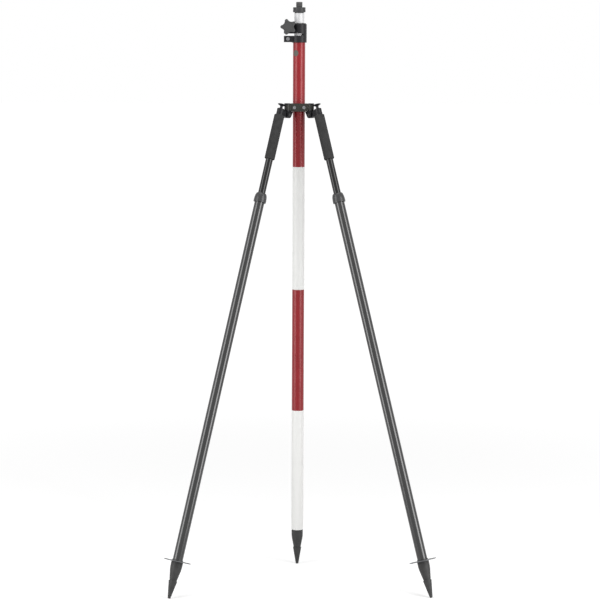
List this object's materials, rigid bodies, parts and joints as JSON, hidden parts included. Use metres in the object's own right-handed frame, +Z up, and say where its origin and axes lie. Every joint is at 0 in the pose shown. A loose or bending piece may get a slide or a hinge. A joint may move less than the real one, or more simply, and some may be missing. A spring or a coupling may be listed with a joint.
{
  "type": "prism pole bipod",
  "caption": "Telescoping survey prism pole with banded tube, star-knob lock collar and threaded top stud, held plumb by two folding, swivelling thumb-release legs with disc feet",
  "frame": {"origin": "the tip of the pole point, on the ground", "axes": "+Z up along the pole, -Y towards the side the legs stand on, +X to the right seen from that side"},
  "size_m": [0.6454, 0.3738, 1.407],
  "materials": {
    "red_anodised": "satin",
    "white_band": "gloss",
    "silver_anodised": "satin",
    "black_anodised": "satin",
    "black_gloss": "gloss",
    "grey_anodised": "satin",
    "knob_plastic": "matte",
    "grip_rubber": "matte",
    "cap_plastic": "satin",
    "bush_plastic": "satin",
    "screw_steel": "satin",
    "dark_steel": "satin",
    "disc_steel": "satin"
  },
  "bodies": {
    "pole": {"outer_tube": "red_anodised", "white_bands": "white_band", "pole_ferrule": "black_anodised", "pole_point": "dark_steel", "lock_collar": "black_anodised", "collar_screw": "screw_steel", "guide_bush": "bush_plastic", "knob_nut": "screw_steel", "clamp_ring": "black_anodised", "clamp_screw": "screw_steel", "hinge_bracket": "black_anodised", "bracket_screws": "screw_steel", "tension_screws": "screw_steel"},
    "inner_pole": {"inner_tube": "silver_anodised", "inner_bush": "bush_plastic", "neck_ring": "cap_plastic", "top_adapter": "black_anodised", "top_stud": "screw_steel"},
    "lock_knob": {"star_knob": "knob_plastic", "knob_screw": "screw_steel"},
    "left_swivel": {"left_swivel_clevis": "black_anodised", "left_swivel_cap": "black_anodised", "left_swivel_screw": "screw_steel", "left_fold_pin": "screw_steel"},
    "left_leg": {"left_leg_head": "black_anodised", "left_grip": "grip_rubber", "left_upper_tube": "black_gloss", "left_lock_collet": "bush_plastic", "left_tube_bush": "bush_plastic", "left_button_spring": "screw_steel"},
    "left_release": {"left_thumb_button": "black_anodised", "left_release_rod": "silver_anodised", "left_lock_cone": "screw_steel"},
    "left_foot": {"left_lower_tube": "grey_anodised", "left_dome_cap": "cap_plastic", "left_dome_bush": "bush_plastic", "left_foot_ferrule": "black_anodised", "left_foot_disc": "disc_steel", "left_leg_point": "dark_steel"},
    "right_swivel": {"right_swivel_clevis": "black_anodised", "right_swivel_cap": "black_anodised", "right_swivel_screw": "screw_steel", "right_fold_pin": "screw_steel"},
    "right_leg": {"right_leg_head": "black_anodised", "right_grip": "grip_rubber", "right_upper_tube": "black_gloss", "right_lock_collet": "bush_plastic", "right_tube_bush": "bush_plastic", "right_button_spring": "screw_steel"},
    "right_release": {"right_thumb_button": "black_anodised", "right_release_rod": "silver_anodised", "right_lock_cone": "screw_steel"},
    "right_foot": {"right_lower_tube": "grey_anodised", "right_dome_cap": "cap_plastic", "right_dome_bush": "bush_plastic", "right_foot_ferrule": "black_anodised", "right_foot_disc": "disc_steel", "right_leg_point": "dark_steel"}
  },
  "joints": [
    {"name": "pole_extend", "type": "slide", "parent": "pole", "child": "inner_pole", "axis": [0, 0, 1], "range_m": [0, 1.15]},
    {"name": "knob_turn", "type": "hinge", "parent": "pole", "child": "lock_knob", "pos_m": [-0.027, -0.025, 1.346], "axis": [0, -1, 0], "range_deg": [0, 360]},
    {"name": "left_swing", "type": "hinge", "parent": "pole", "child": "left_swivel", "pos_m": [-0.0292, -0.0245, 1.15], "axis": [0, 0, 1], "range_deg": [-41, 27]},
    {"name": "left_fold", "type": "hinge", "parent": "left_swivel", "child": "left_leg", "pos_m": [-0.0292, -0.0245, 1.13169], "axis": [-0.7361, 0.6769, 0], "range_deg": [-18.9, 5]},
    {"name": "left_extend", "type": "slide", "parent": "left_leg", "child": "left_foot", "axis": [-0.2193, -0.2384, -0.9461], "range_m": [-0.085, 0.58]},
    {"name": "left_button", "type": "slide", "parent": "left_leg", "child": "left_release", "axis": [-0.2193, -0.2384, -0.9461], "range_m": [0, 0.005], "stiffness_N_per_m": 1500, "springref_m": -0.004, "deforming": ["left_button_spring"]},
    {"name": "right_swing", "type": "hinge", "parent": "pole", "child": "right_swivel", "pos_m": [0.0292, -0.0245, 1.15], "axis": [0, 0, -1], "range_deg": [-41, 27]},
    {"name": "right_fold", "type": "hinge", "parent": "right_swivel", "child": "right_leg", "pos_m": [0.0292, -0.0245, 1.13169], "axis": [-0.7361, -0.6769, 0], "range_deg": [-18.9, 5]},
    {"name": "right_extend", "type": "slide", "parent": "right_leg", "child": "right_foot", "axis": [0.2193, -0.2384, -0.9461], "range_m": [-0.085, 0.58]},
    {"name": "right_button", "type": "slide", "parent": "right_leg", "child": "right_release", "axis": [0.2193, -0.2384, -0.9461], "range_m": [0, 0.005], "stiffness_N_per_m": 1500, "springref_m": -0.004, "deforming": ["right_button_spring"]}
  ]
}
